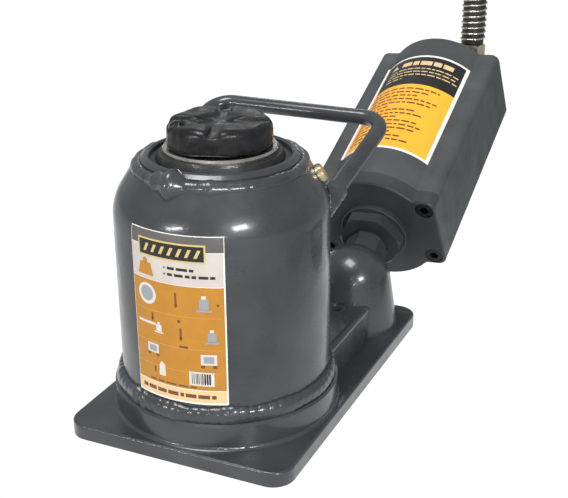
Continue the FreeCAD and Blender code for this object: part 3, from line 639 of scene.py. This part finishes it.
def bottle_ray(u, v):
    """u runs round the bottle from the label's left edge, v is the height over the floor."""
    angle = BOTTLE_LABEL_START + u / BOTTLE_R
    out = Vector((math.cos(angle), math.sin(angle), 0.0))
    return out * 80.0 * MM + Vector((0.0, 0.0, v * MM)), -out


MOTOR_FOOT = Vector((28.8, 134.2, 51.0)) * MM
MOTOR_LEAN = 24.0          # degrees that the motor leans back
MOTOR_ROLL = -4.75         # degrees that it is turned on its own axis
MOTOR_TURN = (Matrix.Translation(MOTOR_FOOT)
              @ Matrix.Rotation(math.radians(MOTOR_LEAN - 90.0), 4, "X")
              @ Matrix.Rotation(math.radians(MOTOR_ROLL), 4, "Z"))


def motor_ray(u, v):
    """u runs across the motor's top, v along its axis from the end plate's face."""
    start = MOTOR_TURN @ Vector((u * MM, -60.0 * MM, v * MM))
    return start, (MOTOR_TURN.to_3x3() @ Vector((0.0, 1.0, 0.0))).normalized()


def jack_sign(label, u, v, size, color="grey"):
    """A plain picture of a bottle jack."""
    label.print(color, 3, bar(u - 2.4 * size, v, u + 2.4 * size, v + 0.7 * size))
    label.print(color, 3, bar(u - 1.5 * size, v + 0.9 * size, u + 1.5 * size, v + 4.2 * size))
    label.print("white", 3, bar(u - 0.7 * size, v + 4.3 * size, u + 0.7 * size, v + 5.4 * size))


def stand_sign(label, u, v, size):
    """A plain picture of a load on two feet."""
    label.print("white", 3, bar(u - 2.9 * size, v + 0.8 * size, u + 2.9 * size, v + 5.0 * size))
    label.print("grey", 4, bar(u - 1.9 * size, v + 1.5 * size, u + 1.9 * size, v + 4.2 * size))
    for foot in (u - 2.2 * size, u + 2.2 * size):
        label.print("brown", 3, bar(foot - 0.7 * size, v - 0.5 * size,
                                    foot + 0.7 * size, v + 0.6 * size))


def arrow_sign(label, u, v, length):
    label.print("brown", 3, bar(u - 0.45, v, u + 0.45, v + length))
    label.print("brown", 3, [(u - 0.9, v + 1.1), (u, v - 0.9), (u + 0.9, v + 1.1)])


def make_bottle_label():
    wide = BOTTLE_LABEL_SPAN * BOTTLE_R
    rng = random.Random(11)
    label = Label("bottle_print", bottle_ray, surface_of("bottle_label"))
    edge = 0.7
    label.print("cream", 1, bar(0.4, 30.0, wide - edge, 36.0))
    label.print("orange", 1, bar(0.3, 36.4, wide - edge, 87.3))
    label.print("paper", 1, bar(0.3, 87.6, wide - edge, 103.5))
    label.print("dark_grey", 1, bar(0.3, 103.8, wide - 0.3, 110.7))
    label.print("gold", 2, bar(5.0, 98.6, 38.6, 107.2))
    label.print("black", 3, bar(5.8, 99.4, 37.8, 106.4))
    for i in range(7):
        u = 8.0 + 4.2 * i
        label.print("gold", 4, [(u, 101.0), (u + 1.5, 101.0), (u + 3.3, 104.8), (u + 1.8, 104.8)])
    label.print("orange", 2, [(4.0, 89.4), (13.0, 89.4), (11.6, 95.4), (5.4, 95.4)])
    label.print("orange", 2, disc(8.5, 96.2, 1.4))
    label.words("black", 2, 20.5, 33.0, 94.4, 1.3, rng)
    label.words("black", 2, 20.5, 42.5, 91.4, 1.3, rng)
    label.print("dark_grey", 2, disc(19.0, 95.0, 0.5, 10))
    label.print("dark_grey", 2, disc(19.0, 92.0, 0.5, 10))
    for v in (72.4, 56.6, 45.0):
        label.print("pale_orange", 2, bar(1.0, v, wide - 2.0, v + 0.3))
    label.print("white", 2, disc(8.6, 80.2, 5.2, 24))
    label.print("grey", 3, disc(8.6, 80.4, 3.7, 22))
    arrow_sign(label, 24.0, 77.0, 6.6)
    jack_sign(label, 37.0, 75.6, 1.45)
    label.print("brown", 3, disc(43.2, 79.0, 0.6, 8))
    label.print("white", 3, bar(2.4, 65.4, 12.8, 66.6))
    jack_sign(label, 14.6, 62.0, 1.0, "white")
    arrow_sign(label, 11.2, 68.0, 3.4)
    label.print("brown", 3, disc(25.2, 70.0, 0.8, 10))
    arrow_sign(label, 25.8, 61.0, 5.6)
    jack_sign(label, 40.2, 60.0, 1.3)
    stand_sign(label, 10.6, 50.4, 1.1)
    label.words("brown", 2, 24.8, 29.6, 56.8, 1.2, rng)
    stand_sign(label, 38.4, 48.4, 1.25)
    bottle_outline = [(13.6, 40.6), (17.2, 40.6), (17.0, 46.4), (15.2, 48.0), (13.9, 46.2)]
    label.print("white", 3, bottle_outline)
    label.print("brown", 3, bar(10.8, 41.4, 11.6, 44.4))
    label.print("white", 2, bar(29.0, 38.6, 40.6, 45.6))
    u = 30.2
    while u < 39.2:
        width = rng.choice((0.35, 0.5, 0.8))
        label.print("black", 3, bar(u, 39.4, u + width, 44.8))
        u += width + rng.choice((0.3, 0.4, 0.6))
    label.words("brown", 2, 8.0, 33.5, 37.2, 0.8, rng)
    label.words("brown", 2, 3.0, 42.0, 32.0, 1.9, rng)
    label.make("base")


def make_motor_label():
    rng = random.Random(23)
    left, right, low, high = -28.2, 26.4, 31.0, 121.0
    edge, split = 1.7, 91.4
    label = Label("motor_print", motor_ray, surface_of("motor_label"))
    label.print("amber", 1, bar(left + edge, low + edge, right - edge, split))
    label.print("black", 1, bar(left + edge, split, right - edge, high - edge))
    label.print("cream", 2, [(-21.5, 111.0), (-16.5, 111.0), (-19.0, 115.4)])
    u = -14.0
    for width in (7.5, 5.0, 8.5, 6.0, 7.0):
        label.print("cream", 2, bar(u, 111.0, u + width - 1.1, 115.0))
        u += width
    for row, end in enumerate((23.0, 22.0, 23.5, -10.0)):
        label.words("cream", 2, -21.0, end, 107.0 - 3.1 * row, 0.9, rng)
    line_ends = (18.0, 14.0, 8.0, 20.0, 16.0, -9.0, 9.0, 14.0,
                 1.0, 13.0, 16.0, 13.5, 0.0, 8.0, 14.0)
    for row, end in enumerate(line_ends):
        label.words("brown", 2, -24.5, end, 86.5 - 3.45 * row, 1.35, rng)
    label.make("base")


make_bottle_label()
make_motor_label()


# ---- studio ----------------------------------------------------------------------------------
WORLD_LIGHT = 0.40
FLOOR_R = 6.0
SHEET_NEAR = 0.385         # where the lit sheet starts and ends, in metres from the camera
SHEET_FAR = 2.6
SHEET_SPREAD = 0.31        # its half width for each metre from the camera
LIGHTS_AIM = Vector((0.02, -0.02, 0.11))


def flat(name, corners, height, material):
    points = [(x, y, height) for x, y in corners]
    piece = mesh_object(name, points, [tuple(range(len(points)))], False)
    dress(piece, material)


def make_floor():
    """A plain floor, and a lit white sheet on it where the camera looks."""
    plain = Shader("plain_floor", specular=0.1)
    plain.color((0.55, 0.55, 0.55, 1.0))
    plain.rough(0.9)
    flat("floor", disc(0.0, 0.0, FLOOR_R, 64), -0.0008, plain.material)
    lit = Shader("lit_sheet", specular=0.0)
    lit.color((0.0, 0.0, 0.0, 1.0))
    lit.rough(1.0)
    lit.surface.inputs["Emission Color"].default_value = (1.0, 1.0, 1.0, 1.0)
    lit.surface.inputs["Emission Strength"].default_value = 1.05
    turn = Matrix.Rotation(math.radians(CAMERA_YAW), 2)
    corners = []
    for away, side in ((SHEET_NEAR, -1.0), (SHEET_NEAR, 1.0), (SHEET_FAR, 1.0), (SHEET_FAR, -1.0)):
        at = turn @ Vector((side * away * SHEET_SPREAD, away))
        corners.append((CAMERA_AT.x + at.x, CAMERA_AT.y + at.y))
    flat("sheet", corners, -0.0004, lit.material)


def area_light(name, azimuth, height, reach, size, power, roll=0.0):
    """A soft light, reach metres from the bottle's shoulder; azimuth and height are in degrees."""
    az, up = math.radians(azimuth), math.radians(height)
    way = Vector((math.cos(up) * math.cos(az), math.cos(up) * math.sin(az), math.sin(up)))
    data = bpy.data.lights.new(name, "AREA")
    data.shape = "RECTANGLE"
    data.size, data.size_y = size
    data.energy = power
    light = link(bpy.data.objects.new(name, data))
    light.matrix_world = (Matrix.Translation(LIGHTS_AIM + way * reach)
                          @ way.to_track_quat("Z", "Y").to_matrix().to_4x4()
                          @ Matrix.Rotation(math.radians(roll), 4, "Z"))


def make_studio():
    world = bpy.data.worlds.new("studio")
    world.use_nodes = True
    background = world.node_tree.nodes["Background"]
    background.inputs["Color"].default_value = (0.97, 0.99, 1.0, 1.0)
    background.inputs["Strength"].default_value = WORLD_LIGHT
    bpy.context.scene.world = world
    area_light("window", -44, 20, 1.4, (0.36, 0.22), 13.0, 12.0)
    area_light("slit", -113, 12, 1.4, (0.42, 0.05), 5.5, 24.0)
    area_light("low_slit", -65, 3, 1.6, (0.30, 0.025), 2.2, 8.0)
    area_light("overhead", -120, 72, 1.7, (0.9, 0.6), 26.0)
    area_light("back", 115, 29, 1.6, (0.25, 0.02), 0.7)
    bpy.context.scene.view_settings.view_transform = "Standard"


make_floor()
make_studio()
